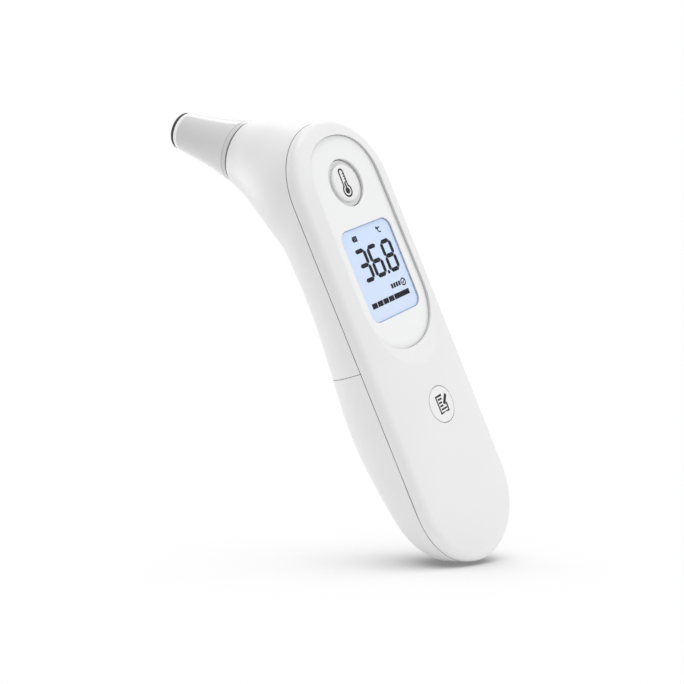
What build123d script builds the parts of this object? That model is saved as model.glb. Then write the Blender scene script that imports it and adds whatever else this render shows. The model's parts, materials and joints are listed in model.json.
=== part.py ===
from build123d import *
from math import atan, cos, degrees, radians, sin, sqrt, tan
import os

# A hand-held ear thermometer, in millimetres. The origin is the foot of the handle, on the parting plane
# between the front and back covers. +Z runs up the handle, the display faces -Y, and the ear probe leaves
# the head towards +Y and upwards.

# Handle outline: a slot, seen from the front.
length = 120.0
half_width = 18.5
low_centre = half_width
high_centre = length - half_width
wall = 1.6

# Front cover: a low side wall, then a crowned face that is domed over both ends.
side_wall = 2.52
crest = 5.55
crown_radius = (half_width**2 + (crest - side_wall) ** 2) / (2 * (crest - side_wall))
crown_centre_y = crown_radius - crest
rim_radius = 2.4
cover_gap = 0.25
lip_height = 1.2
lip_thickness = 1.0

# Recessed display panel.
panel_y = -3.24
panel_thickness = 1.0
panel_low, panel_high = 57.9, 115.4
panel_half_low, panel_half_high = 13.7, 13.2
panel_low_end, panel_high_end = 14.6, 13.0
end_fullness = 0.62
panel_step = 0.75
scoop_low, scoop_high, scoop_mouth_y = 51.8, 117.9, -6.0
scoop_low_knee, scoop_high_knee = 80.0, 103.0
scoop_half_low, scoop_half_high = 16.2, 15.7
floor_y, floor_thickness = -2.2, 0.5
display_z = 79.15
window_width, window_height, window_corner = 20.8, 24.6, 2.8
window_thickness = 0.4

# Buttons.
measure_z, measure_radius, measure_travel = 102.9, 6.15, 0.5
measure_face_radius, measure_groove = 4.95, 0.95
memory_z, memory_radius, memory_travel = 41.5, 4.75, 0.4
button_clearance = 0.15

# Back of the body: ovals square to a path that runs up the handle and bends back into the probe neck.
pivot_y, pivot_z = 59.5, 70.0
probe_tilt = 55.0
oval_fullness = 0.56
neck_radius = 9.1
neck_inner = 52.2
back_points = [
    (0, 0, 0),
    (0, 6.2, 1.0),
    (0, 12.2, 4.8),
    (0, 18.4, 19),
    (0, 22.0, 38),
    (0, 19.4, 62),
    (0, 17.8, 79),
    (0, 19.7, 95),
    (0, 24.6, 106),
]
seam_z = 57.2
seam_gap = 0.14

# Ear probe, in distances along its own axis from the end of the neck.
base_ring_radius, base_ring_end = 7.9, 0.85
cone_start, cone_end = 0.9, 22.65
cone_base_radius, cone_tip_radius = 8.6, 5.35
land_length, groove_depth, groove_width = 1.2, 0.2, 0.3
tip_ring_radius, tip_ring_length = 5.05, 1.15
tip_bore = 3.5
lens_frame_radius, lens_frame_length = 4.55, 0.35

# Cells: two AAA, side by side.
cell_radius, cell_length = 5.25, 44.5
cell_x, cell_y, cell_z = 5.4, 5.0, 9.4

# Boards.
main_board_y, board_thickness = 0.9, 1.0
key_board_y, key_board_thickness = -1.9, 0.8


def finish(piece, name):
    piece.part.label = name
    export_step(piece.part, f"parts/{name}.step")


os.makedirs("parts", exist_ok=True)


# Shapes that several pieces share ---------------------------------------------------------------------


forwards = (0, -1, 0)


def slot_face(inset, y=0.0):
    """The handle outline, set in by a distance, on the plane at y."""
    with BuildSketch(Plane.XZ.offset(-y)) as face:
        with Locations((0, length / 2)):
            SlotCenterToCenter(length - 2 * half_width, 2 * (half_width - inset), rotation=90)
    return face.sketch


def front_form(inset):
    """The crowned front half, set in all round by a distance, from the parting plane forwards."""
    radius = crown_radius - inset
    with BuildPart() as dome:
        with BuildSketch(Plane.YZ):
            with BuildLine():
                CenterArc((crown_centre_y, low_centre), radius, 270, 90)
                Line((crown_centre_y + radius, low_centre), (crown_centre_y + radius, high_centre))
                CenterArc((crown_centre_y, high_centre), radius, 0, 90)
                Line((crown_centre_y, high_centre + radius), (crown_centre_y, low_centre - radius))
            make_face()
        revolve(axis=Axis((0, crown_centre_y, 0), (0, 0, 1)))
    with BuildPart() as form:
        extrude(slot_face(inset), amount=crest + 1, dir=forwards)
        add(dome.part, mode=Mode.INTERSECT)
    return form.part


def panel_face(grow, y):
    """The display panel's outline, grown outwards by a distance."""
    low, high = panel_low - grow, panel_high + grow
    wide_low, wide_high = panel_half_low + grow, panel_half_high + grow
    low_knee, high_knee = panel_low + panel_low_end, panel_high - panel_high_end
    low_pull = low_knee - end_fullness * (low_knee - low)
    high_pull = high_knee + end_fullness * (high - high_knee)
    with BuildSketch(Plane.XZ.offset(-y)) as face:
        with BuildLine():
            for side in (1, -1):
                Line((side * wide_low, low_knee), (side * wide_high, high_knee))
                Bezier(
                    (side * wide_high, high_knee),
                    (side * wide_high, high_pull),
                    (side * wide_high * end_fullness, high),
                    (0, high),
                )
                Bezier(
                    (side * wide_low, low_knee),
                    (side * wide_low, low_pull),
                    (side * wide_low * end_fullness, low),
                    (0, low),
                )
        make_face()
    return face.sketch


def scoop_face(y):
    """The wide mouth of the scoop that leads down into the panel, mostly below it."""
    with BuildSketch(Plane.XZ.offset(-y)) as face:
        with BuildLine():
            for side in (1, -1):
                low_knee = (side * scoop_half_low, scoop_low_knee)
                high_knee = (side * scoop_half_high, scoop_high_knee)
                Line(low_knee, high_knee)
                Bezier(high_knee, (side * scoop_half_high, 112), (side * 10, scoop_high), (0, scoop_high))
                Bezier(low_knee, (side * 21, 60), (side * 17, scoop_low), (0, scoop_low))
        make_face()
    return face.sketch


def slab(width, height, z, y_front, y_back, corner=0.0, x=0.0):
    """A flat piece parallel to the display: width along X, height along Z, between two y planes."""
    with BuildPart() as plate:
        with BuildSketch(Plane.XZ.offset(-y_back)):
            with Locations((x, z)):
                if corner:
                    RectangleRounded(width, height, corner)
                else:
                    Rectangle(width, height)
        extrude(amount=y_back - y_front)
    return plate.part


def disc(radius, z, y_front, y_back, x=0.0):
    """A round piece whose axis is along Y."""
    with BuildPart() as plate:
        with BuildSketch(Plane.XZ.offset(-y_back)):
            with Locations((x, z)):
                Circle(radius)
        extrude(amount=y_back - y_front)
    return plate.part


# The back body's section family -------------------------------------------------------------------------

inner_end = (
    0,
    pivot_y - neck_inner * cos(radians(probe_tilt)),
    pivot_z + neck_inner * sin(radians(probe_tilt)),
)
outer_end = (
    0,
    pivot_y - (neck_inner + 2 * neck_radius) * cos(radians(probe_tilt)),
    pivot_z + (neck_inner + 2 * neck_radius) * sin(radians(probe_tilt)),
)
back_profile = Spline([*back_points, inner_end])
top_profile = Line((0, 0, length), outer_end)


def crossing(curve, plane):
    """Where a curve that rises steadily past a plane goes through it."""
    low, high = 0.0, 1.0
    for _ in range(40):
        middle = (low + high) / 2
        if (curve @ middle - plane.origin).dot(plane.z_dir) < 0:
            low = middle
        else:
            high = middle
    return curve @ low


def oval_face(plane, half_x, half_y):
    """An oval of four quarter curves that always starts at +X, so that neighbouring ovals loft evenly."""
    pull_x, pull_y = oval_fullness * half_x, oval_fullness * half_y
    with BuildSketch(plane) as face:
        with BuildLine():
            Bezier((half_x, 0), (half_x, pull_y), (pull_x, half_y), (0, half_y))
            Bezier((0, half_y), (-pull_x, half_y), (-half_x, pull_y), (-half_x, 0))
            Bezier((-half_x, 0), (-half_x, -pull_y), (-pull_x, -half_y), (0, -half_y))
            Bezier((0, -half_y), (pull_x, -half_y), (half_x, -pull_y), (half_x, 0))
        make_face()
    return face.sketch


def level_section(z, inset):
    """A level section of the handle. Below the low centre the outline closes in a half circle."""
    radius = half_width - inset
    drop = max(0.0, low_centre - z)
    profile_z = low_centre - drop * half_width / radius if drop else z
    depth = crossing(back_profile, Plane.XY.offset(profile_z)).Y
    if drop:
        full_depth = crossing(back_profile, Plane.XY.offset(low_centre)).Y
        depth *= (full_depth - inset) / full_depth
    else:
        depth -= inset
    return oval_face(Plane.XY.offset(z), sqrt(radius**2 - drop**2), depth)


def fan_section(tilt, inset):
    """A section of the head and neck, in a plane that swings about the pivot."""
    back = Vector(0, cos(radians(tilt)), -sin(radians(tilt)))
    normal = Vector(0, sin(radians(tilt)), cos(radians(tilt)))
    pivot = Vector(0, pivot_y, pivot_z)
    plane = Plane(origin=pivot, x_dir=(1, 0, 0), z_dir=normal)
    inner = crossing(back_profile, plane)
    front_z = pivot_z + pivot_y * tan(radians(tilt))
    blend = max(0.0, (tilt - head_tilt) / (probe_tilt - head_tilt))
    half_x = half_width - (half_width - neck_radius) * (2.1 * blend**2 - 1.1 * blend**3)
    if front_z < length:
        front = Vector(0, 0, front_z)
        rise = max(0.0, front_z - high_centre)
        front_half = sqrt(half_width**2 - rise**2)
        reach = (inner - front).length
        half_y = reach / (1 + sqrt(max(0.0, 1 - (front_half / half_x) ** 2)))
    else:
        outer = crossing(top_profile, plane)
        half_y = (inner - outer).length / 2
    centre = inner - back * half_y
    section_plane = Plane(origin=centre, x_dir=(1, 0, 0), z_dir=normal)
    return oval_face(section_plane, half_x - inset, half_y - inset)


def tilt_at(z):
    """The tilt of the swinging plane that meets the parting plane at height z."""
    return degrees(atan((z - pivot_z) / pivot_y))


head_tilt = tilt_at(high_centre)


def body_loft(inset):
    sections = [Vertex(0, 0, inset)]
    radius = half_width - inset
    for angle in (18, 36, 54, 72, 90):
        sections.append(level_section(low_centre - radius * cos(radians(angle)), inset))
    for z in (28, 38, 48, 59):
        sections.append(level_section(z, inset))
    for tilt in (0, 8, 16, 23, head_tilt, 31.5, 35, 38, 41, 45, 50, probe_tilt):
        sections.append(fan_section(tilt, inset))
    with BuildPart() as body:
        loft(sections)
    return body.part


outer_body = body_loft(0.0)
inner_body = body_loft(wall)

# The probe's own plane: its origin is the middle of the neck's end, and its normal is the probe's axis.
probe_plane = Plane(
    origin=(0, (inner_end[1] + outer_end[1]) / 2, (inner_end[2] + outer_end[2]) / 2),
    x_dir=(1, 0, 0),
    z_dir=(0, sin(radians(probe_tilt)), cos(radians(probe_tilt))),
)


def turned(*outline):
    """A piece turned about the probe axis from a closed outline of (radius, distance along) points."""
    with BuildPart() as piece:
        with BuildSketch(Plane(probe_plane.origin, x_dir=(1, 0, 0), z_dir=-probe_plane.y_dir)):
            with BuildLine():
                Polyline(*outline, close=True)
            make_face()
        revolve(axis=Axis(probe_plane.origin, probe_plane.z_dir))
    return piece.part


def probe_pin(radius, start, end, x=0.0, y=0.0):
    with BuildPart() as piece:
        with BuildSketch(probe_plane.offset(start)):
            with Locations((x, y)):
                Circle(radius)
        extrude(amount=end - start)
    return piece.part


# Front cover ---------------------------------------------------------------------------------------------

screw_shank = 0.85
boss_radius = 1.7
tray_screw_x, tray_screw_heights = 13.5, (24.0, 44.0)
tray_floor_y, tray_floor = -0.4, 0.5
cover_screw_x, cover_screw_z = 13.6, 54.4
board_screw_x, board_screw_z = 11.0, 61.1
frame_opening = (24.6, 29.6)
bosses = (
    [(side * tray_screw_x, z, -0.95) for side in (-1, 1) for z in tray_screw_heights]
    + [(side * cover_screw_x, cover_screw_z, 0.2) for side in (-1, 1)]
    + [(side * board_screw_x, board_screw_z, main_board_y - 0.05) for side in (-1, 1)]
)

with BuildPart() as front_cover:
    add(front_form(0))
    rim = [e for e in front_cover.edges() if abs(e.center().Y + side_wall) < 0.05]
    fillet(rim, rim_radius)
    add(front_form(wall), mode=Mode.SUBTRACT)
    # The pocket that holds the panel: a solid collar behind the crown, with a floor.
    with BuildPart(mode=Mode.PRIVATE) as collar:
        extrude(scoop_face(floor_y + floor_thickness), amount=crest, dir=forwards)
        add(front_form(0.4), mode=Mode.INTERSECT)
    add(collar.part)
    # The lip that the back covers fit over.
    with BuildPart(mode=Mode.PRIVATE) as lip:
        extrude(slot_face(wall + 0.4, lip_height), amount=lip_height + 2.6, dir=forwards)
        inside = slot_face(wall + 0.4 + lip_thickness, lip_height)
        extrude(inside, amount=lip_height + 2.6, dir=forwards, mode=Mode.SUBTRACT)
    add(lip.part)
    # Screw bosses, with their pilot holes.
    for x, z, reach in bosses:
        with BuildPart(mode=Mode.PRIVATE) as boss:
            add(disc(boss_radius, z, -crest, reach, x))
            add(front_form(0.4), mode=Mode.INTERSECT)
        add(boss.part)
        if reach > 0:
            add(disc(boss_radius, z, -1, reach, x))
        add(disc(screw_shank, z, -2.0, reach + 1, x), mode=Mode.SUBTRACT)
    # The scoop and the pocket.
    loft([panel_face(0, panel_y - panel_step), scoop_face(scoop_mouth_y)], mode=Mode.SUBTRACT)
    extrude(panel_face(0, floor_y), amount=crest, dir=forwards, mode=Mode.SUBTRACT)
    add(slab(*frame_opening, display_z, floor_y - 1, 3, corner=1.5), mode=Mode.SUBTRACT)
    for radius, z in (
        (measure_radius + button_clearance, measure_z),
        (memory_radius + button_clearance, memory_z),
    ):
        add(disc(radius, z, -crest - 1, 1), mode=Mode.SUBTRACT)
    add(disc(memory_radius + 1.3, memory_z, -3.9, 1), mode=Mode.SUBTRACT)
    # A notch in the lip for the back cover's hook.
    add(slab(6.8, 3.0, length - 3.2, -2.2, 3), mode=Mode.SUBTRACT)
finish(front_cover, "front_cover")


# Back covers ---------------------------------------------------------------------------------------------

shell_low = seam_z - seam_gap / 2
shell_high = seam_z + seam_gap / 2
bulkhead = 1.6
tongue_front, tongue_thickness = 14.6, 1.2
tab_x, tab_low = 13.7, 51.6

with BuildPart() as back_cover:
    add(outer_body)
    add(inner_body, mode=Mode.SUBTRACT)
    add(probe_pin(neck_radius - wall, -4, 2), mode=Mode.SUBTRACT)
    split(bisect_by=Plane.XZ.offset(-cover_gap), keep=Keep.BOTTOM)
    split(bisect_by=Plane.XY.offset(shell_high), keep=Keep.TOP)
    # The bulkhead that closes the electronics off from the cells.
    with BuildPart(mode=Mode.PRIVATE) as floor:
        add(inner_body)
        split(bisect_by=Plane.XZ.offset(-2.2), keep=Keep.BOTTOM)
        split(bisect_by=Plane.XY.offset(shell_high), keep=Keep.TOP)
        split(bisect_by=Plane.XY.offset(shell_high + bulkhead), keep=Keep.BOTTOM)
    add(floor.part)
    # Slots for the battery cover's tongue and for the leads.
    add(slab(7.2, 6, shell_high, tongue_front - 0.3, tongue_front + 1.6), mode=Mode.SUBTRACT)
    add(slab(12, 6, shell_high, 2.6, 4.8), mode=Mode.SUBTRACT)
    # Screw tabs that reach down behind the front cover, and the hook at the top.
    for side in (-1, 1):
        tab_height = shell_high + bulkhead - tab_low
        add(slab(3.4, tab_height, tab_low + tab_height / 2, cover_gap, 2.4, x=side * tab_x))
        add(disc(screw_shank + 0.15, cover_screw_z, -1, 4, side * cover_screw_x), mode=Mode.SUBTRACT)
    with BuildPart(mode=Mode.PRIVATE) as hook_root:
        add(slab(5.6, 3.4, length - 2.1, cover_gap, 3.0))
        add(outer_body, mode=Mode.INTERSECT)
    add(hook_root.part)
    add(slab(5.6, 1.8, length - 3.0, -1.9, 1.0))
finish(back_cover, "back_cover")

with BuildPart() as battery_cover:
    add(outer_body)
    add(inner_body, mode=Mode.SUBTRACT)
    split(bisect_by=Plane.XZ.offset(-cover_gap), keep=Keep.BOTTOM)
    split(bisect_by=Plane.XY.offset(shell_low), keep=Keep.BOTTOM)
    # The tongue that slips up behind the bulkhead's slot, and its root.
    add(slab(6.0, 9.0, seam_z - 1.0, tongue_front, tongue_front + tongue_thickness))
    add(slab(6.0, 2.6, seam_z - 4.2, tongue_front, tongue_front + 4.2))
    # A shallow thumb recess.
    with Locations((0, 33.45, 46.0)):
        Sphere(12.4, mode=Mode.SUBTRACT)
finish(battery_cover, "battery_cover")

# Display ---------------------------------------------------------------------------------------------------

panel_back = panel_y + panel_thickness
glass_width, glass_height = 22.8, 27.8
glass_front = panel_y + window_thickness + 0.04

with BuildPart() as display_panel:
    extrude(panel_face(-0.06, panel_back), amount=panel_thickness, dir=forwards)
    add(slab(window_width, window_height, display_z, -5, 0, window_corner), mode=Mode.SUBTRACT)
    add(slab(glass_width + 0.2, glass_height + 0.2, display_z, glass_front - 0.04, 0), mode=Mode.SUBTRACT)
    add(disc(measure_radius + button_clearance, measure_z, -5, 0), mode=Mode.SUBTRACT)
    mouth = [
        e for e in display_panel.edges().filter_by(GeomType.CIRCLE)
        if abs(e.radius - measure_radius - button_clearance) < 0.01 and abs(e.center().Y - panel_y) < 0.01
    ]
    fillet(mouth, 0.3)
finish(display_panel, "display_panel")

with BuildPart() as display_window:
    add(slab(window_width - 0.08, window_height - 0.08, display_z, panel_y, glass_front - 0.04,
             window_corner))
finish(display_window, "display_window")

with BuildPart() as lcd_glass:
    add(slab(glass_width, glass_height, display_z, glass_front, glass_front + 1.1, 0.4))
finish(lcd_glass, "lcd_glass")

frame_front, frame_step, frame_back = glass_front + 1.12, floor_y + floor_thickness + 0.05, main_board_y - 0.05
with BuildPart() as lcd_frame:
    add(slab(24.2, 29.2, display_z, frame_front, frame_step + 0.2))
    add(slab(27.4, 31.6, display_z, frame_step, frame_back, 0.8))
    add(slab(22.9, 27.9, display_z, frame_front - 1, frame_front + 0.95), mode=Mode.SUBTRACT)
    add(slab(20.0, 20.0, display_z, 0, 3), mode=Mode.SUBTRACT)
    add(slab(20.0, 1.6, display_z + 12.4, frame_front, 3), mode=Mode.SUBTRACT)
finish(lcd_frame, "lcd_frame")

with BuildPart() as light_guide:
    add(slab(22.7, 24.0, display_z - 1.8, frame_front + 0.05, frame_front + 0.85))
finish(light_guide, "light_guide")

with BuildPart() as zebra_strip:
    add(slab(19.6, 1.3, display_z + 12.4, frame_front, main_board_y))
finish(zebra_strip, "zebra_strip")

# Boards ------------------------------------------------------------------------------------------------------

board_back = main_board_y + board_thickness
board_half, board_low = 14.4, 59.4
measure_switch_front = main_board_y - 1.5

with BuildPart() as main_board:
    add(slab(2 * board_half, high_centre - board_low, (high_centre + board_low) / 2, main_board_y,
             board_back))
    add(disc(board_half, high_centre, main_board_y, board_back))
    for side in (-1, 1):
        add(disc(1.1, board_screw_z, 0, 3, side * board_screw_x), mode=Mode.SUBTRACT)
finish(main_board, "main_board")

with BuildPart() as key_board:
    add(slab(18, 15, memory_z, key_board_y, key_board_y + key_board_thickness, 1.0))
finish(key_board, "key_board")

for name, width, height, z, x, thickness in (
    ("controller_chip", 8.0, 8.0, 84.0, 4.5, 1.2),
    ("memory_chip", 5.0, 4.0, 74.5, 5.5, 1.1),
    ("clock_crystal", 2.2, 6.4, 74.5, -1.5, 1.5),
    ("flex_connector", 9.0, 3.0, 95.6, 0.0, 1.8),
):
    with BuildPart() as component:
        add(slab(width, height, z, board_back, board_back + thickness, 0.3, x))
        chamfer(component.faces().sort_by(Axis.Y)[-1].edges(), 0.2)
    finish(component, name)

with BuildPart() as buzzer:
    add(disc(5.0, 68.4, board_back, board_back + 2.6, -7.6))
    add(disc(1.0, 68.4, board_back + 2.0, board_back + 3, -7.6), mode=Mode.SUBTRACT)
    fillet(buzzer.edges().filter_by(GeomType.CIRCLE).sort_by(Axis.Y)[-1], 0.15)
finish(buzzer, "buzzer")

with BuildPart() as backlight_leds:
    for x in (-6, 6):
        add(slab(3.0, 1.0, 61.9, main_board_y - 0.9, main_board_y, 0.1, x))
finish(backlight_leds, "backlight_leds")

# Buttons and switches ------------------------------------------------------------------------------------------

flange = 0.4
measure_flange_front = floor_y + floor_thickness + 0.05
measure_flange_back = measure_flange_front + flange
memory_flange_front = -3.85
memory_flange_back = memory_flange_front + flange

with BuildPart() as measure_button:
    # The face stands up out of a groove that runs round it, just inside the panel's hole.
    add(disc(measure_face_radius, measure_z, panel_y - 0.05, measure_flange_back))
    fillet(measure_button.edges().filter_by(GeomType.CIRCLE).sort_by(Axis.Y)[0], 0.7)
    add(disc(measure_radius, measure_z, panel_y + measure_groove, measure_flange_back))
    add(disc(measure_radius + 1.2, measure_z, measure_flange_front, measure_flange_back))
finish(measure_button, "measure_button")

with BuildPart() as memory_button:
    with BuildPart(mode=Mode.PRIVATE) as cap:
        add(disc(memory_radius, memory_z, -crest - 1, memory_flange_back))
        add(front_form(-0.08), mode=Mode.INTERSECT)
    add(cap.part)
    fillet(memory_button.edges().filter_by_position(Axis.Y, -crest - 1, -crest + 0.5), 0.2)
    add(disc(memory_radius + 0.8, memory_z, memory_flange_front, memory_flange_back))
finish(memory_button, "memory_button")


def switch(name, z, flange_back, body_front, body_back, travel, side, plunger_radius):
    """A tact switch: its body, soldered to the board, and the plunger that the button rests on."""
    plunger_length = body_front - flange_back + 0.5
    with BuildPart() as body:
        add(slab(side, side, z, body_front, body_back, 0.3))
        bore = plunger_radius + 0.08
        add(disc(bore, z, body_front - 1, body_front + 0.5 + travel + 0.08), mode=Mode.SUBTRACT)
    finish(body, name + "_switch")
    with BuildPart() as plunger:
        add(disc(plunger_radius, z, flange_back, flange_back + plunger_length))
    finish(plunger, name + "_plunger")


switch("measure", measure_z, measure_flange_back, measure_switch_front, main_board_y, measure_travel, 6.0, 1.6)
switch("memory", memory_z, memory_flange_back, key_board_y - 1.0, key_board_y, memory_travel, 5.2, 1.3)

# Cells and their tray ----------------------------------------------------------------------------------------------

cell_top = cell_z + cell_length
tray_back = tray_floor_y
tray_low, tray_high = 5.2, 55.9

with BuildPart() as battery_tray:
    add(slab(23.6, cell_length + 1.6, cell_z + cell_length / 2, tray_back - tray_floor, tray_back))
    add(slab(14.6, 6.0, tray_low + 3.0, tray_back - tray_floor, tray_back))
    add(slab(22.4, 3.0, tray_high - 1.5, tray_back - tray_floor, tray_back))
    for side in (-1, 1):
        add(slab(0.8, cell_length, cell_z + cell_length / 2, tray_back - 0.2, 4.6, x=side * 11.4))
        for z in tray_screw_heights:
            add(slab(4.2, 5.0, z, tray_back - tray_floor, tray_back, x=side * 13.2))
            add(disc(1.0, z, -3, 3, side * tray_screw_x), mode=Mode.SUBTRACT)
    add(slab(14.6, 0.8, tray_low + 0.4, tray_back - 0.2, 5.4))
    add(slab(22.0, 0.8, tray_high - 0.4, tray_back - 0.2, 8.6))
    for side in (-1, 1):
        add(slab(1.6, 3, tray_high, 2.9, 4.3, x=side * cell_x), mode=Mode.SUBTRACT)
finish(battery_tray, "battery_tray")


def cell(name, side, flip):
    """A cell: can, plus its positive cap."""
    low = cell_z
    cap = 1.0
    with BuildPart() as body:
        with BuildSketch(Plane.XY.offset(low + (cap if flip else 0))):
            with Locations((side * cell_x, cell_y)):
                Circle(cell_radius)
        extrude(amount=cell_length - cap)
        fillet(body.edges().filter_by(GeomType.CIRCLE), 0.4)
        with BuildSketch(Plane.XY.offset(low if flip else low + cell_length - cap - 0.1)):
            with Locations((side * cell_x, cell_y)):
                Circle(1.9)
        extrude(amount=cap + 0.1)
    finish(body, name)


cell("battery_1", -1, False)
cell("battery_2", 1, True)

with BuildPart() as link_contact:
    add(slab(15.6, 0.3, tray_low + 0.8 + 0.2, 0.2, 5.2))
    for side in (-1, 1):
        with BuildSketch(Plane.YZ.offset(side * cell_x)):
            with BuildLine():
                Polyline((4.6, tray_low + 1.0), (3.8, cell_z - 1.1), (5.4, cell_z - 0.12), (6.6, cell_z - 1.4))
            trace(line_width=0.26)
        extrude(amount=1.6, both=True)
finish(link_contact, "link_contact")

for name, side in (("plus_contact", -1), ("minus_contact", 1)):
    with BuildPart() as contact:
        add(slab(7.0, 0.3, cell_top + 0.95, 0.4, 7.4, x=side * cell_x))
        add(slab(1.2, 4.6, tray_high + 0.95, 3.0, 3.3, x=side * cell_x))
        with BuildSketch(Plane.YZ.offset(side * cell_x)):
            with BuildLine():
                Polyline((3.6, cell_top + 0.9), (5.0, cell_top + 0.16), (6.4, cell_top + 0.9))
            trace(line_width=0.26)
        extrude(amount=1.4, both=True)
    finish(contact, name)

# Fasteners ---------------------------------------------------------------------------------------------------------


def screws(name, places, shank, head):
    """A group of identical pan-head screws along Y, each from (x, z, y under the head, length)."""
    with BuildPart() as group:
        for x, z, seat, reach in places:
            add(disc(shank - 0.05, z, seat - reach, seat, x))
            add(disc(head, z, seat, seat + 0.9, x))
            add(slab(1.6, 0.35, z, seat + 0.5, seat + 2, x=x), mode=Mode.SUBTRACT)
            add(slab(0.35, 1.6, z, seat + 0.5, seat + 2, x=x), mode=Mode.SUBTRACT)
    finish(group, name)


sides = (-1, 1)
screws("tray_screws", [(s * tray_screw_x, z, tray_back, 1.5) for s in sides for z in tray_screw_heights],
       screw_shank, 1.5)
screws("cover_screws", [(s * cover_screw_x, cover_screw_z, 2.4, 4.0) for s in sides], screw_shank, 1.4)
screws("board_screws", [(s * board_screw_x, board_screw_z, board_back, 3.4) for s in sides], screw_shank, 1.6)

# Probe -------------------------------------------------------------------------------------------------------------

with BuildPart() as probe_base_ring:
    add(turned((5.9, -2.2), (7.35, -2.2), (7.35, 0.04), (base_ring_radius, 0.04),
               (base_ring_radius, base_ring_end), (5.9, base_ring_end)))
finish(probe_base_ring, "probe_base_ring")

with BuildPart() as probe_cone:
    with BuildSketch(Plane(probe_plane.origin, x_dir=(1, 0, 0), z_dir=-probe_plane.y_dir)):
        with BuildLine():
            land_end = (cone_base_radius, cone_start + land_length)
            groove_in = (cone_base_radius - groove_depth, cone_start + land_length)
            groove_out = (cone_base_radius - groove_depth, cone_start + land_length + groove_width)
            cone_foot = (cone_base_radius - groove_depth / 2, cone_start + land_length + groove_width)
            lip = (cone_tip_radius, cone_end - 0.7)
            rim = (tip_ring_radius, cone_end)
            Polyline((4.7, -1.5), (5.8, -1.5), (5.8, cone_start), (cone_base_radius, cone_start), land_end,
                     groove_in, groove_out, cone_foot)
            Bezier(cone_foot, (7.4, 6.9), (6.1, 13.6), lip)
            Bezier(lip, (cone_tip_radius, cone_end - 0.2), (cone_tip_radius - 0.12, cone_end), rim)
            Polyline(rim, (tip_bore, cone_end), (tip_bore, 19.4), (5.2, 8.0), (5.2, 3.0), (4.7, 2.6), (4.7, -1.5))
        make_face()
    revolve(axis=Axis(probe_plane.origin, probe_plane.z_dir))
finish(probe_cone, "probe_cone")

ring_start = cone_end + 0.03
ring_end = ring_start + tip_ring_length
lens_radius, lens_thickness = 2.95, 0.4
tube_end = ring_end - lens_thickness - 0.05
with BuildPart() as probe_tip_ring:
    add(turned((3.0, cone_end - 1.3), (tip_bore - 0.05, cone_end - 1.3), (tip_bore - 0.05, ring_start),
               (tip_ring_radius, ring_start), (tip_ring_radius, ring_end - 0.2),
               (tip_ring_radius - 0.2, ring_end), (3.0, ring_end)))
finish(probe_tip_ring, "probe_tip_ring")

with BuildPart() as probe_lens_frame:
    add(turned((2.3, ring_end + 0.02), (lens_frame_radius, ring_end + 0.02),
               (lens_frame_radius, ring_end + lens_frame_length - 0.15),
               (lens_frame_radius - 0.2, ring_end + lens_frame_length), (2.6, ring_end + lens_frame_length)))
finish(probe_lens_frame, "probe_lens_frame")

with BuildPart() as probe_window:
    add(probe_pin(lens_radius, ring_end - lens_thickness, ring_end))
finish(probe_window, "probe_window")

with BuildPart() as waveguide:
    add(turned((2.45, -8.9), (2.85, -8.9), (2.85, tube_end), (2.45, tube_end)))
finish(waveguide, "waveguide")

with BuildPart() as probe_seal:
    add(turned((2.9, 0.2), (4.6, 0.2), (4.6, 1.6), (2.9, 1.6)))
    fillet(probe_seal.edges(), 0.3)
finish(probe_seal, "probe_seal")

with BuildPart() as sensor_holder:
    add(turned((2.95, -9.0), (2.95, 0.1), (4.6, 0.1), (4.6, -6.5), (6.3, -6.5), (6.3, -14.0), (2.8, -14.0),
               (2.8, -9.0)))
finish(sensor_holder, "sensor_holder")

with BuildPart() as sensor_can:
    add(turned((0, -9.1), (2.3, -9.1), (2.3, -12.4), (2.75, -12.4), (2.75, -13.0), (0, -13.0)))
finish(sensor_can, "sensor_can")

with BuildPart() as sensor_leads:
    for x, y in ((1.1, 1.1), (-1.1, 1.1), (1.1, -1.1), (-1.1, -1.1)):
        add(probe_pin(0.22, -15.4, -13.0, x, y))
finish(sensor_leads, "sensor_leads")

# The flexible circuit from the sensor's leads down to the connector on the main board.
leads_end = probe_plane.offset(-15.6).origin
with BuildPart() as sensor_flex:
    with BuildSketch(Plane.YZ):
        with BuildLine():
            drop = Vector(0, -cos(radians(probe_tilt)), sin(radians(probe_tilt)))
            top = leads_end + drop * 2.6
            bend = leads_end - drop * 4.2
            FilletPolyline(
                (top.Y, top.Z), (bend.Y, bend.Z), (board_back + 4.2, 96.4), (board_back + 1.9, 95.6), radius=1.2
            )
        trace(line_width=0.24)
    extrude(amount=3.0, both=True)
finish(sensor_flex, "sensor_flex")
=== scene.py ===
import json
from math import cos, radians, sin

import bmesh
import bpy
from mathutils import Matrix, Vector


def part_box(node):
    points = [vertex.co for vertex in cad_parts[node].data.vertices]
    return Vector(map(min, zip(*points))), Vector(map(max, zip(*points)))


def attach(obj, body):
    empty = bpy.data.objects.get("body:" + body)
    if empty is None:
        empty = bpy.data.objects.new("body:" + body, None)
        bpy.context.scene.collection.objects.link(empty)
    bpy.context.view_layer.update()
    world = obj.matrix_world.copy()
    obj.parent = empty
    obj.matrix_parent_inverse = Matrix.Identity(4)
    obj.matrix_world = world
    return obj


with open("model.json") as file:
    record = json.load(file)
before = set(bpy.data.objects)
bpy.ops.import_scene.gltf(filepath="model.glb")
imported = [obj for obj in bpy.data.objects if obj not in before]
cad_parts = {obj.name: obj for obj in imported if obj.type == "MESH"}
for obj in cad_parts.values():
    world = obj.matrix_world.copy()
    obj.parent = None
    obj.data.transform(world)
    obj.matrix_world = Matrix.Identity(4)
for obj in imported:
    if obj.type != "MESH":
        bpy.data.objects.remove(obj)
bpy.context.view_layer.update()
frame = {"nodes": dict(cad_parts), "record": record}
NODES = frame["nodes"]
MM = 0.001

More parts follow.
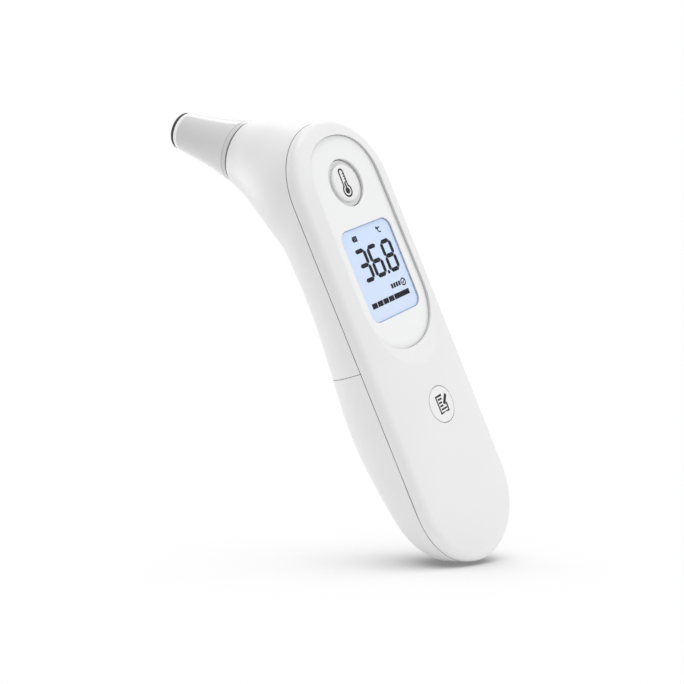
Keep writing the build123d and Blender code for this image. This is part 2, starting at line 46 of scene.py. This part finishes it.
# The camera stands to the front left of the display and is rolled, as the handle leans back on its heel.
CAMERA_AZIMUTH, CAMERA_ELEVATION, CAMERA_ROLL = radians(-48.05), radians(3.6), radians(21.86)
CAMERA_DISTANCE, CAMERA_SHIFT = 365.56 * MM, 14.79 * MM
CAMERA_TARGET = Vector((0, 0, 60 * MM))
FOCAL_LENGTH, SENSOR = 74.81, 36.0

# Places read from the frame.
WINDOW_LOW, WINDOW_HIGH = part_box("display_window")
MEASURE_LOW, MEASURE_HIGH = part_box("measure_button")
MEMORY_LOW, MEMORY_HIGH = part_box("memory_button")


def camera_axes():
    """The camera's right, up and backward directions in the row frame."""
    back = Vector((
        sin(CAMERA_AZIMUTH) * cos(CAMERA_ELEVATION),
        -cos(CAMERA_AZIMUTH) * cos(CAMERA_ELEVATION),
        sin(CAMERA_ELEVATION),
    ))
    level_right = Vector((0, 0, 1)).cross(back).normalized()
    level_up = back.cross(level_right)
    right = cos(CAMERA_ROLL) * level_right - sin(CAMERA_ROLL) * level_up
    up = cos(CAMERA_ROLL) * level_up + sin(CAMERA_ROLL) * level_right
    return right, up, back


RIGHT, UP, BACK = camera_axes()


def make_camera():
    """The camera that takes the photo's view, made the scene's own."""
    data = bpy.data.cameras.new("camera")
    data.sensor_width = SENSOR
    data.lens = FOCAL_LENGTH
    data.clip_start = 0.01
    data.clip_end = 50
    camera = bpy.data.objects.new("camera", data)
    place = CAMERA_TARGET + BACK * CAMERA_DISTANCE - RIGHT * CAMERA_SHIFT
    turn = Matrix((RIGHT, UP, BACK)).transposed().to_4x4()
    camera.matrix_world = Matrix.Translation(place) @ turn
    bpy.context.scene.collection.objects.link(camera)
    bpy.context.scene.camera = camera


make_camera()

# Materials ----------------------------------------------------------------------------------------------

MATERIALS = {}
# How far the painted groove shade looks for nearby surfaces, in metres.
GROOVE_REACH = 1.6 * MM
NOISE_SPREAD = (0.3, 0.7)
GRAIN_STRENGTH = 0.25


def blank(name):
    """An empty node material: the material, its node tree and its output node."""
    material = bpy.data.materials.new(name)
    material.use_nodes = True
    tree = material.node_tree
    tree.nodes.clear()
    output = tree.nodes.new("ShaderNodeOutputMaterial")
    return material, tree, output


def add(tree, kind, **values):
    """Adds a shader node of a kind, with some of its settings."""
    node = tree.nodes.new("ShaderNode" + kind)
    for name, value in values.items():
        setattr(node, name, value)
    return node


def object_place(tree):
    """The shaded point's place in the object's own frame, in metres."""
    return add(tree, "TexCoord").outputs["Object"]


def noise(tree, scale, detail=3.0):
    """Soft random patches; the scale is about how many there are to a metre."""
    node = add(tree, "TexNoise")
    node.inputs["Scale"].default_value = scale
    node.inputs["Detail"].default_value = detail
    node.inputs["Roughness"].default_value = 0.5
    tree.links.new(object_place(tree), node.inputs["Vector"])
    return node.outputs["Fac"]


def ranged(tree, value, old_range, new_range=(0.0, 1.0), smooth=False):
    """Carries a value from one range over to another, held at both ends."""
    node = add(tree, "MapRange", interpolation_type="SMOOTHSTEP" if smooth else "LINEAR")
    ends = ("From Min", "From Max", "To Min", "To Max")
    for end, number in zip(ends, (*old_range, *new_range)):
        node.inputs[end].default_value = number
    tree.links.new(value, node.inputs["Value"])
    return node.outputs["Result"]


def blend_colours(tree, factor, first, second, low=0.25, high=0.75):
    """A colour that goes from the first to the second as the factor goes from low to high."""
    ramp = add(tree, "ValToRGB")
    ramp.color_ramp.elements[0].position = low
    ramp.color_ramp.elements[0].color = (*first, 1)
    ramp.color_ramp.elements[1].position = high
    ramp.color_ramp.elements[1].color = (*second, 1)
    tree.links.new(factor, ramp.inputs["Fac"])
    return ramp.outputs["Color"]


def paint_groove_shade(tree, colour, depth):
    """Paints shade into a colour: darkens it in grooves and gaps, where little light gets in."""
    occlusion = add(tree, "AmbientOcclusion", samples=8)
    occlusion.inputs["Distance"].default_value = GROOVE_REACH
    shade = ranged(tree, occlusion.outputs["AO"], (0.25, 0.95), (1 - depth, 1.0))
    darker = add(tree, "VectorMath", operation="SCALE")
    tree.links.new(colour, darker.inputs[0])
    tree.links.new(shade, darker.inputs["Scale"])
    return darker.outputs["Vector"]


def surface(name, first, second, patch, rough, grain, grain_depth, groove_shade=0.0, **fixed):
    """A finish whose colour drifts between two tones, with a wandering roughness and a fine grain.

    Patch and grain are noise scales, grain_depth is in mm, the share after grain_depth is how much painted
    shade darkens the colour in grooves and gaps, and the rest are the shader's own sockets.
    """
    material, tree, output = blank(name)
    shader = add(tree, "BsdfPrincipled")
    tree.links.new(shader.outputs["BSDF"], output.inputs["Surface"])
    colour = blend_colours(tree, noise(tree, patch), first, second)
    # Painted shade: the colour darkens in grooves and gaps, found by occlusion rather than by the lights.
    if groove_shade:
        colour = paint_groove_shade(tree, colour, groove_shade)
    tree.links.new(colour, shader.inputs["Base Color"])
    tree.links.new(ranged(tree, noise(tree, patch * 2.3), NOISE_SPREAD, rough), shader.inputs["Roughness"])
    bump = add(tree, "Bump")
    bump.inputs["Strength"].default_value = GRAIN_STRENGTH
    bump.inputs["Distance"].default_value = grain_depth * MM
    tree.links.new(noise(tree, grain, 2.0), bump.inputs["Height"])
    tree.links.new(bump.outputs["Normal"], shader.inputs["Normal"])
    for socket, value in fixed.items():
        shader.inputs[socket.replace("_", " ")].default_value = value
    MATERIALS[name] = material


def grey(value):
    """A neutral colour."""
    return (value, value, value)


# The shell, panel and button finishes get painted shade in their grooves and gaps.
surface(
    "white_shell", grey(0.805), grey(0.82), 60, (0.38, 0.42), 2200, 0.005, groove_shade=0.35,
    Sheen_Weight=0.1, Sheen_Roughness=0.3,
)
surface(
    "panel_gloss", (0.865, 0.868, 0.87), (0.885, 0.887, 0.89), 50, (0.18, 0.2), 900, 0.001, groove_shade=0.4,
    Coat_Weight=0.5, Coat_Roughness=0.05,
)
surface(
    "button_white", grey(0.825), grey(0.84), 80, (0.3, 0.34), 2200, 0.004, groove_shade=0.15,
)
surface(
    "probe_grey", grey(0.60), grey(0.61), 40, (0.27, 0.29), 1800, 0.003,
    Coat_Weight=1.0, Coat_IOR=1.7, Coat_Roughness=0.08, Sheen_Weight=1.0, Sheen_Roughness=0.25,
)
surface(
    "probe_tip", (0.70, 0.705, 0.71), (0.75, 0.755, 0.76), 150, (0.2, 0.3), 1800, 0.002,
    Coat_Weight=0.3, Coat_Roughness=0.1,
)
surface(
    "chrome_tube", grey(0.72), (0.80, 0.79, 0.77), 300, (0.12, 0.24), 3000, 0.004, Metallic=1.0,
)
surface(
    "heat_block", (0.50, 0.49, 0.47), (0.60, 0.585, 0.56), 220, (0.3, 0.45), 2600, 0.01, Metallic=1.0,
)
surface(
    "seal_rubber", grey(0.03), grey(0.055), 260, (0.6, 0.8), 3000, 0.02,
)
surface(
    "board", (0.010, 0.085, 0.045), (0.018, 0.125, 0.062), 420, (0.3, 0.45), 1500, 0.01,
    Coat_Weight=0.3, Coat_Roughness=0.2,
)
surface(
    "chip", grey(0.018), grey(0.032), 500, (0.45, 0.6), 4000, 0.01,
)
surface(
    "crystal_can", grey(0.66), grey(0.76), 500, (0.2, 0.35), 4000, 0.006, Metallic=1.0,
)
surface(
    "plunger", (0.10, 0.10, 0.11), (0.14, 0.14, 0.15), 500, (0.4, 0.55), 3000, 0.01,
)
surface(
    "connector", (0.70, 0.67, 0.58), (0.78, 0.75, 0.66), 400, (0.45, 0.6), 3000, 0.01,
)
surface(
    "flex", (0.55, 0.22, 0.04), (0.68, 0.30, 0.06), 300, (0.25, 0.4), 2000, 0.006,
    Coat_Weight=0.4, Coat_Roughness=0.15,
)
surface(
    "led", (0.85, 0.80, 0.55), (0.93, 0.90, 0.70), 400, (0.25, 0.35), 3000, 0.004,
)
surface(
    "cell_wrap", (0.03, 0.09, 0.16), (0.05, 0.13, 0.22), 140, (0.2, 0.32), 2200, 0.006,
    Coat_Weight=0.5, Coat_Roughness=0.08,
)
surface(
    "contact_metal", (0.74, 0.73, 0.70), (0.84, 0.83, 0.80), 300, (0.18, 0.32), 3000, 0.008, Metallic=1.0,
)
surface(
    "screw_steel", (0.42, 0.42, 0.43), (0.55, 0.55, 0.56), 500, (0.25, 0.4), 3500, 0.01, Metallic=1.0,
)
surface(
    "ink", (0.02, 0.021, 0.024), (0.03, 0.03, 0.034), 600, (0.5, 0.6), 4000, 0.004,
    Specular_IOR_Level=0.25,
)
# The deeper blue of the painted shade along the display window's edge.
surface(
    "display_edge", (0.34, 0.49, 0.78), (0.38, 0.53, 0.82), 300, (0.3, 0.4), 4000, 0.002,
)
surface(
    "segment", (0.002, 0.003, 0.006), (0.005, 0.006, 0.01), 600, (0.5, 0.6), 4000, 0.002,
    Specular_IOR_Level=0.1,
)


def paint_tip_highlight(name, node, reach):
    """Paints a highlight: lets a material turn pale over the last stretch of the probe, where its rounded rim
    would catch the light.
    """
    mounts = {mount["name"]: mount for mount in frame["record"]["mounts"]}
    axis = Vector(mounts["probe_seat"]["axis"])
    end = max(v.co.dot(axis) for v in NODES[node].data.vertices)
    tree = MATERIALS[name].node_tree
    colour = tree.nodes["Principled BSDF"].inputs["Base Color"]
    along = add(tree, "VectorMath", operation="DOT_PRODUCT")
    along.inputs[1].default_value = axis
    tree.links.new(object_place(tree), along.inputs[0])
    rise = ranged(tree, along.outputs["Value"], (end - reach, end - reach * 0.6), smooth=True)
    mix = add(tree, "Mix", data_type="RGBA")
    plain, highlight, mixed = mix.inputs[6], mix.inputs[7], mix.outputs[2]
    tree.links.new(rise, mix.inputs["Factor"])
    tree.links.new(colour.links[0].from_socket, plain)
    highlight.default_value = (*TIP_HIGHLIGHT, 1)
    tree.links.new(mixed, colour)


# The colour of the painted highlight on the probe cone's rounded tip, and how far back from the tip it
# reaches.
TIP_HIGHLIGHT = grey(0.93)
paint_tip_highlight("probe_grey", "probe_cone", 1.5 * MM)


def clear_window():
    """Clear plastic, thin enough that the display behind it shows at full strength."""
    material, tree, output = blank("clear_window")
    shader = add(tree, "BsdfPrincipled")
    tree.links.new(shader.outputs["BSDF"], output.inputs["Surface"])
    drift = noise(tree, 120)
    tint = blend_colours(tree, drift, (0.86, 0.92, 1.0), (0.92, 0.96, 1.0))
    tree.links.new(tint, shader.inputs["Base Color"])
    tree.links.new(ranged(tree, noise(tree, 260), NOISE_SPREAD, (0.04, 0.09)), shader.inputs["Roughness"])
    shader.inputs["Alpha"].default_value = 0.01
    shader.inputs["Coat Weight"].default_value = 0.3
    return material


DISPLAY_LOW, DISPLAY_HIGH = (0.58, 0.67, 0.83), (0.56, 0.67, 0.87)
DISPLAY_MOTTLE, DISPLAY_EMISSION = 0.12, 0.14


def lit_display():
    """The lit display: pale blue, a little deeper towards its top."""
    material, tree, output = blank("lcd")
    shader = add(tree, "BsdfPrincipled")
    tree.links.new(shader.outputs["BSDF"], output.inputs["Surface"])
    parts = add(tree, "SeparateXYZ")
    tree.links.new(object_place(tree), parts.inputs["Vector"])
    height = ranged(tree, parts.outputs["Z"], (WINDOW_LOW.z, WINDOW_HIGH.z))
    mottle = add(tree, "Math", operation="MULTIPLY_ADD")
    mottle.inputs[1].default_value = DISPLAY_MOTTLE
    tree.links.new(noise(tree, 180), mottle.inputs[0])
    tree.links.new(height, mottle.inputs[2])
    glow = blend_colours(tree, mottle.outputs["Value"], DISPLAY_LOW, DISPLAY_HIGH, 0.1, 1.0)
    tree.links.new(glow, shader.inputs["Base Color"])
    tree.links.new(glow, shader.inputs["Emission Color"])
    shader.inputs["Emission Strength"].default_value = DISPLAY_EMISSION
    shader.inputs["Roughness"].default_value = 0.35
    return material


MATERIALS["clear_window"] = clear_window()
MATERIALS["lcd"] = lit_display()

for node in NODES.values():
    for place in node.material_slots:
        place.material = MATERIALS[place.material.name.split(".")[0]]

# Printed marks, whose sizes and places are in mm ---------------------------------------------------------

MEASURE_MIDDLE = (MEASURE_LOW.z + MEASURE_HIGH.z) / 2 / MM
MEMORY_MIDDLE = (MEMORY_LOW.z + MEMORY_HIGH.z) / 2 / MM
INK_THICKNESS, SEGMENT_THICKNESS, EDGE_SHADE_THICKNESS = 0.05, 0.03, 0.02
SUNK_SHARE = 0.3
IN_FRONT = -50 * MM


def arc(centre, radius, start, end, steps=16):
    """Points along an arc, angles in degrees."""
    turns = [radians(start + (end - start) * i / steps) for i in range(steps + 1)]
    return [(centre[0] + radius * cos(t), centre[1] + radius * sin(t)) for t in turns]


def strokes_mesh(name, strokes, width):
    """Round-ended lines drawn flat in x and z, as one mesh of thin flattened tubes; sizes in mm."""
    data = bpy.data.curves.new(name, "CURVE")
    data.dimensions = "3D"
    data.bevel_depth = width / 2
    data.bevel_resolution = 3
    data.use_fill_caps = True
    for points in strokes:
        closed = points[0] == points[-1] and len(points) > 2
        kept = points[:-1] if closed else points
        line = data.splines.new("POLY")
        line.points.add(len(kept) - 1)
        for point, (x, z) in zip(line.points, kept):
            point.co = (x, 0, z, 1)
        line.use_cyclic_u = closed
    curve = bpy.data.objects.new(name, data)
    mesh = bpy.data.meshes.new_from_object(curve)
    bpy.data.objects.remove(curve)
    bpy.data.curves.remove(data)
    return mesh


def fills_mesh(name, outlines):
    """Filled flat shapes in x and z, each a thin prism; sizes in mm."""
    shape = bmesh.new()
    for points in outlines:
        front = [shape.verts.new((x, -0.5, z)) for x, z in points]
        back = [shape.verts.new((x, 0.5, z)) for x, z in points]
        shape.faces.new(front)
        shape.faces.new(back[::-1])
        for i in range(len(points)):
            j = (i + 1) % len(points)
            shape.faces.new((front[j], front[i], back[i], back[j]))
    bmesh.ops.recalc_face_normals(shape, faces=shape.faces)
    mesh = bpy.data.meshes.new(name)
    shape.to_mesh(mesh)
    shape.free()
    return mesh


def lay(name, mesh, thickness, node, body, material, centre=(0, 0)):
    """Flattens a mark to a thin layer, drops it on the node's front and lets it ride that body."""
    low = min(v.co.y for v in mesh.vertices)
    high = max(v.co.y for v in mesh.vertices)
    target = NODES[node]
    for vertex in mesh.vertices:
        x, z = (vertex.co.x + centre[0]) * MM, (vertex.co.z + centre[1]) * MM
        hit, place, _normal, _face = target.ray_cast(Vector((x, IN_FRONT, z)), Vector((0, 1, 0)))
        ground = place.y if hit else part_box(node)[0].y
        share = (high - vertex.co.y) / (high - low)
        vertex.co = (x, ground - thickness * (share - SUNK_SHARE) * MM, z)
    piece = bpy.data.objects.new(name, mesh)
    piece.data.materials.clear()
    piece.data.materials.append(MATERIALS[material])
    for polygon in mesh.polygons:
        polygon.use_smooth = False
    bpy.context.scene.collection.objects.link(piece)
    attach(piece, body)


def join_meshes(name, meshes):
    """Puts several meshes into one and removes them."""
    whole = bmesh.new()
    for mesh in meshes:
        whole.from_mesh(mesh)
    merged = bpy.data.meshes.new(name)
    whole.to_mesh(merged)
    whole.free()
    for mesh in meshes:
        bpy.data.meshes.remove(mesh)
    return merged


def disc(centre, radius, steps=28):
    """The corners of a filled circle."""
    return arc(centre, radius, 0, 360 * (steps - 1) / steps, steps - 1)


# The thermometer on the measuring button: tube, bulb, filled core and four scale marks.
TUBE_HALF, TUBE_TOP, BULB_Z, BULB_RADIUS, CORE_RADIUS = 0.78, 2.8, -2.15, 1.5, 0.42
BULB_OPENING = 57
tube = (
    arc((0, TUBE_TOP), TUBE_HALF, 0, 180)
    + arc((0, BULB_Z), BULB_RADIUS, 180 - BULB_OPENING, 360 + BULB_OPENING, 30)
)
tube.append(tube[0])
core = disc((0, BULB_Z), CORE_RADIUS)
core.append(core[0])
scale_marks = [[(0.2, z), (TUBE_HALF, z)] for z in (2.3, 1.6, 0.9, 0.2)]
thermometer = join_meshes("thermometer_icon", [
    strokes_mesh("tube", [tube], 0.5),
    strokes_mesh("marks", scale_marks, 0.3),
    strokes_mesh("core_line", [[(0, BULB_Z), (0, 0.1)]], 0.6),
    strokes_mesh("core", [core], 2 * CORE_RADIUS + 0.02),
])
lay("thermometer_icon", thermometer, INK_THICKNESS, "measure_button", "measure_button", "ink",
    (-0.75, MEASURE_MIDDLE + 0.1))

# The memory button's mark: a note pad with lines, and a pencil across its corner.
pad = [(0.6, 2.2), (-1.85, 2.2), (-1.85, -2.2), (1.5, -2.2), (1.5, -0.1)]
LINE_START = -1.4
line_ends = ((0.3, 1.32), (-0.1, 0.44), (0.0, -0.44), (1.1, -1.32))
notepad = join_meshes("notepad_icon", [
    strokes_mesh("pad", [pad], 0.66),
    strokes_mesh("lines", [[(LINE_START, z), (end, z)] for end, z in line_ends], 0.5),
    strokes_mesh("pencil", [[(0.5, -0.3), (2.4, 1.9)]], 1.0),
])
lay("notepad_icon", notepad, INK_THICKNESS, "memory_button", "memory_button", "ink",
    (0.2, MEMORY_MIDDLE + 0.05))

# The display's segments. Each digit's ends are shares of its width and height.
DIGIT_WIDTH, DIGIT_HEIGHT, DIGIT_BASE, BAR, SEGMENT_GAP = 3.5, 7.7, 77.8, 1.12, 0.06
SEGMENT_ENDS = {
    "a": ((0, 1), (1, 1)), "b": ((1, 1), (1, 0.5)), "c": ((1, 0.5), (1, 0)), "d": ((1, 0), (0, 0)),
    "e": ((0, 0), (0, 0.5)), "f": ((0, 0.5), (0, 1)), "g": ((0, 0.5), (1, 0.5)),
}
DIGITS = {"3": "abgcd", "6": "afgecd", "8": "abcdefg"}


def segment(start, end):
    """A six-cornered bar between two points, pointed at both and short of them by the gap."""
    along = (Vector(end) - Vector(start)).normalized()
    side = Vector((-along.y, along.x)) * BAR / 2
    a, b = Vector(start) + along * SEGMENT_GAP, Vector(end) - along * SEGMENT_GAP
    a_shoulder, b_shoulder = a + along * BAR / 2, b - along * BAR / 2
    corners = (a, a_shoulder + side, b_shoulder + side, b, b_shoulder - side, a_shoulder - side)
    return [tuple(corner) for corner in corners]


def digit(figure, centre_x):
    """The outlines of a digit's lit segments."""
    outlines = []
    for name in DIGITS[figure]:
        start, end = [
            (centre_x + (x - 0.5) * DIGIT_WIDTH, DIGIT_BASE + z * DIGIT_HEIGHT) for x, z in SEGMENT_ENDS[name]
        ]
        outlines.append(segment(start, end))
    return outlines


def row_of_boxes(count, start, pitch, width, low, high):
    """The outlines of equal boxes in a row from left to right."""
    lefts = [start + pitch * i for i in range(count)]
    return [[(x, low), (x + width, low), (x + width, high), (x, high)] for x in lefts]


FIGURES_CENTRE = (0.3, 0)
STRIP = (70.55, 71.95)
figures = digit("3", -5.2) + digit("6", -0.05) + digit("8", 5.7)
figures.append(disc((2.85, 77.75), 0.5, 16))
strip = row_of_boxes(4, -8.4, 2.4, 2.15, *STRIP) + row_of_boxes(1, 1.2, 0, 6.5, *STRIP)
battery = row_of_boxes(1, -6.2, 0, 0.25, 88.45, 89.0) + row_of_boxes(3, -5.8, 0.5, 0.42, 88.2, 89.25)
small_marks = row_of_boxes(4, 1.5, 1.05, 0.8, 73.45, 74.65)
lcd_fills = fills_mesh("lcd_fills", figures + strip + battery + small_marks)

battery_case = [(-5.9, 88.1), (-4.3, 88.1), (-4.3, 89.35), (-5.9, 89.35), (-5.9, 88.1)]
degree_ring = arc((4.55, 89.4), 0.22, 0, 360, 12)
letter_c = arc((5.5, 88.8), 0.62, 60, 300, 20)
tick_ring = arc((6.8, 74.0), 0.9, 0, 360, 30)
tick = [(6.35, 74.05), (6.7, 73.65), (7.3, 74.4)]
lcd_lines = strokes_mesh("lcd_lines", [battery_case, degree_ring, letter_c, tick_ring, tick], 0.36)
for name, mesh in (("lcd_figures", lcd_fills), ("lcd_signs", lcd_lines)):
    lay(name, mesh, SEGMENT_THICKNESS, "lcd_glass", "housing", "segment", FIGURES_CENTRE)

# Painted shade: a deeper blue line where the lit area meets the window's edge, standing in for the shade that
# edge throws on the display set behind it.
EDGE_INSET, EDGE_CORNER, EDGE_WIDTH = 0.12, 2.7, 0.28
corner_x = WINDOW_HIGH.x / MM - EDGE_INSET - EDGE_CORNER
corner_low = WINDOW_LOW.z / MM + EDGE_INSET + EDGE_CORNER
corner_high = WINDOW_HIGH.z / MM - EDGE_INSET - EDGE_CORNER
corner_centres = (
    (corner_x, corner_high), (-corner_x, corner_high), (-corner_x, corner_low), (corner_x, corner_low),
)
edge_shade_line = [
    point
    for quarter, centre in enumerate(corner_centres)
    for point in arc(centre, EDGE_CORNER, 90 * quarter, 90 * (quarter + 1), 8)
]
edge_shade_line.append(edge_shade_line[0])
lay("lcd_edge_shade", strokes_mesh("lcd_edge_shade", [edge_shade_line], EDGE_WIDTH), EDGE_SHADE_THICKNESS,
    "lcd_glass", "housing", "display_edge")

# Light and floor ----------------------------------------------------------------------------------------

SOFT_SKY, SEEN_SKY = 0.68, 1.0
LIGHT_DISTANCE, LIGHT_SIZE = 0.8, 0.5
LIGHTS = {
    # Direction along the camera's right, up and backward, and power in watts.
    "top": ((0, 1, 0.15), 1.85),
    "top_right": ((0.7, 0.7, 0.3), 0.8),
    "right": ((1, 0.1, 0.15), 0.4),
    "back_left": ((-0.75, 0.2, -0.6), 1.35),
    "back_top": ((0, 0.8, -0.6), 0.5),
}
FLOOR_RADIUS, FLOOR_GAP, FLOOR_GLOW = 0.6, 0.1 * MM, 0.07
FLOOR_FADE = (0.18, 0.32)
SHADOW_REACH, SHADOW_DEPTH = 0.09, 0.24


def make_world():
    """A white surround, softer as a source of light than it is to look at."""
    world = bpy.data.worlds.new("studio")
    bpy.context.scene.world = world
    world.use_nodes = True
    tree = world.node_tree
    tree.nodes.clear()
    mix = add(tree, "MixShader")
    tree.links.new(add(tree, "LightPath").outputs["Is Diffuse Ray"], mix.inputs["Fac"])
    for socket, strength in ((1, SEEN_SKY), (2, SOFT_SKY)):
        background = add(tree, "Background")
        background.inputs["Strength"].default_value = strength
        background.inputs["Color"].default_value = (1, 1, 1, 1)
        tree.links.new(background.outputs["Background"], mix.inputs[socket])
    tree.links.new(mix.outputs["Shader"], add(tree, "OutputWorld").inputs["Surface"])


def area_light(name, direction, power):
    """A round soft light that shines at the camera's target."""
    side, height, front = direction
    data = bpy.data.lights.new(name, "AREA")
    data.shape = "DISK"
    data.size = LIGHT_SIZE
    data.energy = power
    light = bpy.data.objects.new(name, data)
    aim = (RIGHT * side + UP * height + BACK * front).normalized()
    light.location = CAMERA_TARGET + aim * LIGHT_DISTANCE
    light.rotation_mode = "QUATERNION"
    light.rotation_quaternion = aim.to_track_quat("Z", "Y")
    bpy.context.scene.collection.objects.link(light)


def floor_material():
    """White card to the light, which fades out at its rim. The camera sees only a painted shadow on it:
    clear, darkened where the object is near.
    """
    material, tree, output = blank("floor")
    card = add(tree, "BsdfDiffuse")
    tree.links.new(blend_colours(tree, noise(tree, 8), grey(0.88), grey(0.90)), card.inputs["Color"])
    glow = add(tree, "Emission")
    glow.inputs["Strength"].default_value = FLOOR_GLOW
    lit_card = add(tree, "AddShader")
    tree.links.new(card.outputs["BSDF"], lit_card.inputs[0])
    tree.links.new(glow.outputs["Emission"], lit_card.inputs[1])

    behind = add(tree, "NewGeometry").outputs["Backfacing"]
    reach = add(tree, "VectorMath", operation="LENGTH")
    tree.links.new(object_place(tree), reach.inputs[0])
    gone = add(tree, "Math", operation="MAXIMUM")
    tree.links.new(ranged(tree, reach.outputs["Value"], FLOOR_FADE), gone.inputs[0])
    tree.links.new(behind, gone.inputs[1])
    fading_card = add(tree, "MixShader")
    tree.links.new(gone.outputs["Value"], fading_card.inputs["Fac"])
    tree.links.new(lit_card.outputs["Shader"], fading_card.inputs[1])
    tree.links.new(add(tree, "BsdfTransparent").outputs["BSDF"], fading_card.inputs[2])

    # Painted shadow: what the camera sees is clear, darkened by occlusion near the object rather than by the
    # lights.
    shadow_occlusion = add(tree, "AmbientOcclusion", samples=16)
    shadow_occlusion.inputs["Distance"].default_value = SHADOW_REACH
    shade = ranged(tree, shadow_occlusion.outputs["AO"], (0.1, 0.94), (SHADOW_DEPTH, 1.0), smooth=True)
    clear = add(tree, "Math", operation="MAXIMUM")
    tree.links.new(shade, clear.inputs[0])
    tree.links.new(behind, clear.inputs[1])
    painted_shadow = add(tree, "BsdfTransparent")
    tree.links.new(clear.outputs["Value"], painted_shadow.inputs["Color"])

    seen = add(tree, "MixShader")
    tree.links.new(add(tree, "LightPath").outputs["Is Camera Ray"], seen.inputs["Fac"])
    tree.links.new(fading_card.outputs["Shader"], seen.inputs[1])
    tree.links.new(painted_shadow.outputs["BSDF"], seen.inputs[2])
    tree.links.new(seen.outputs["Shader"], output.inputs["Surface"])
    return material


def make_floor():
    """A round floor, level in the picture, just under the foot."""
    shells = [NODES[name] for name in ("front_cover", "back_cover", "battery_cover")]
    lowest = min((shell.matrix_world @ v.co).dot(UP) for shell in shells for v in shell.data.vertices)
    across = RIGHT * CAMERA_TARGET.dot(RIGHT) + BACK * CAMERA_TARGET.dot(BACK)
    shape = bmesh.new()
    bmesh.ops.create_circle(shape, cap_ends=True, radius=FLOOR_RADIUS, segments=96)
    mesh = bpy.data.meshes.new("floor")
    shape.to_mesh(mesh)
    shape.free()
    mesh.materials.append(floor_material())
    floor = bpy.data.objects.new("floor", mesh)
    turn = Matrix((RIGHT, -BACK, UP)).transposed().to_4x4()
    floor.matrix_world = Matrix.Translation(UP * (lowest - FLOOR_GAP) + across) @ turn
    bpy.context.scene.collection.objects.link(floor)


make_world()
for name, (direction, power) in LIGHTS.items():
    area_light(name, direction, power)
make_floor()
bpy.context.scene.view_settings.view_transform = "Standard"
